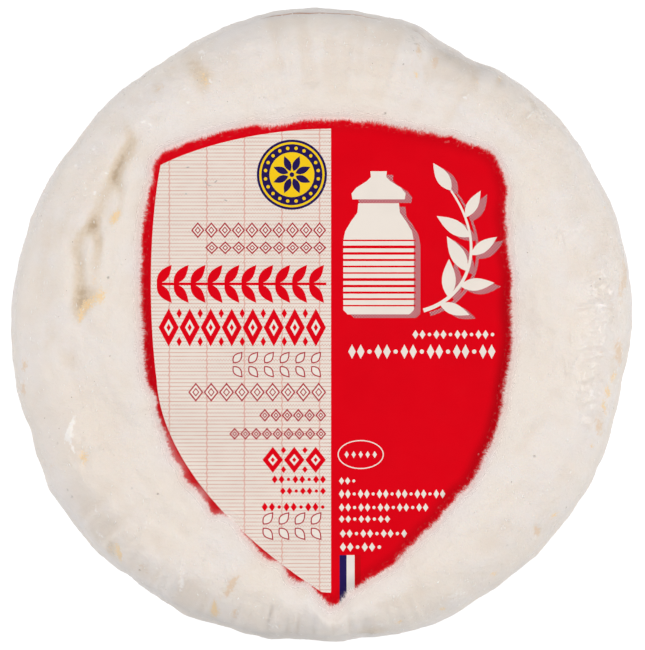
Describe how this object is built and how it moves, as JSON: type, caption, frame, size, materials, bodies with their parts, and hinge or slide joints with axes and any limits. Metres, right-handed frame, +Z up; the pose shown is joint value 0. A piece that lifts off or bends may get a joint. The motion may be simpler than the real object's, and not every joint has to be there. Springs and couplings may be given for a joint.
{
  "type": "brillat-savarin cheese",
  "caption": "Soft white bloomy-rind cheese wheel with rounded shoulders and a shield-shaped paper label sunk into its top.",
  "frame": {"origin": "bottom centre of the bounding box, on the wheel's flat base", "axes": "+Z up through the wheel's shortest extent, +Y towards the top of the label, +X to the label's right"},
  "size_m": [0.1294, 0.1314, 0.0384],
  "materials": {
    "rind": "soft matte white mould bloom with a fine felted grain",
    "paper": "printed paper with a slight satin sheen, red border round a cream panel"
  },
  "bodies": {
    "root": {"cheese": "rind", "label": "paper"}
  },
  "joints": []
}
